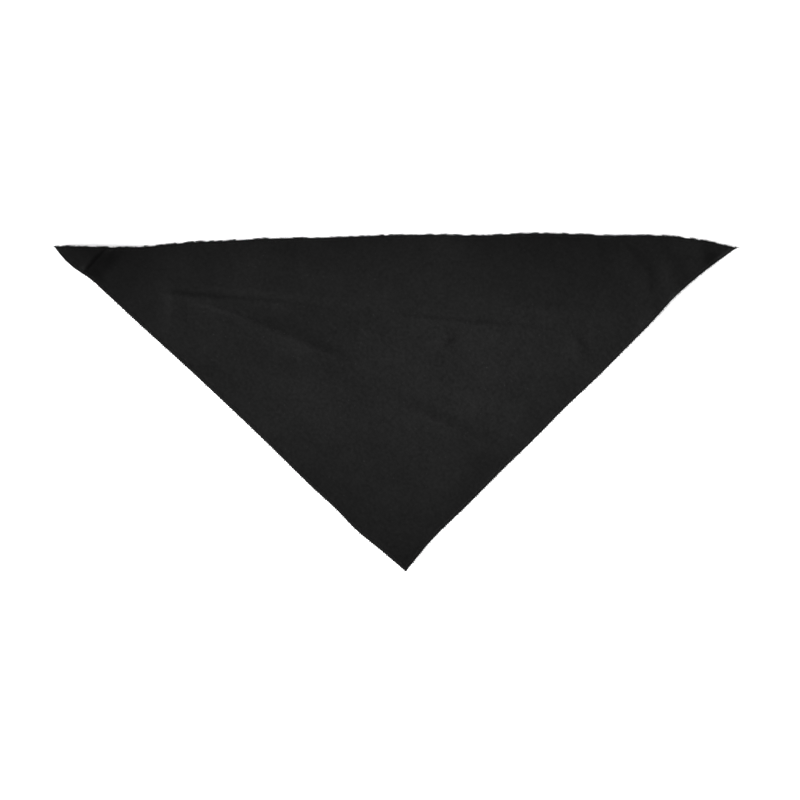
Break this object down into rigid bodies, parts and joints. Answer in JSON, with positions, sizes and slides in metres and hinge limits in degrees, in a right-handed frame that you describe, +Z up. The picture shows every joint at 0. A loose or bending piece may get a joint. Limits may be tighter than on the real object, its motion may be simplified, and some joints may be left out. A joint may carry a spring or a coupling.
{
  "type": "pet bandana",
  "caption": "Flat triangular pet bandana of one ply of black woven cotton with overlocked edges, laid out to be rolled and tied round a collar or neck.",
  "frame": {"origin": "centre of the bandana's bounding box in plan, on the surface that it lies on", "axes": "+X along the long bias side towards the right tip, +Y from the apex towards the long side, +Z up out of the cloth"},
  "size_m": [0.7185, 0.3558, 0.0076],
  "materials": {
    "cloth": "black plain-weave cotton, matt with a faint nap, edges overlocked in black thread"
  },
  "bodies": {
    "root": {"cloth_panel": "cloth"}
  },
  "joints": []
}
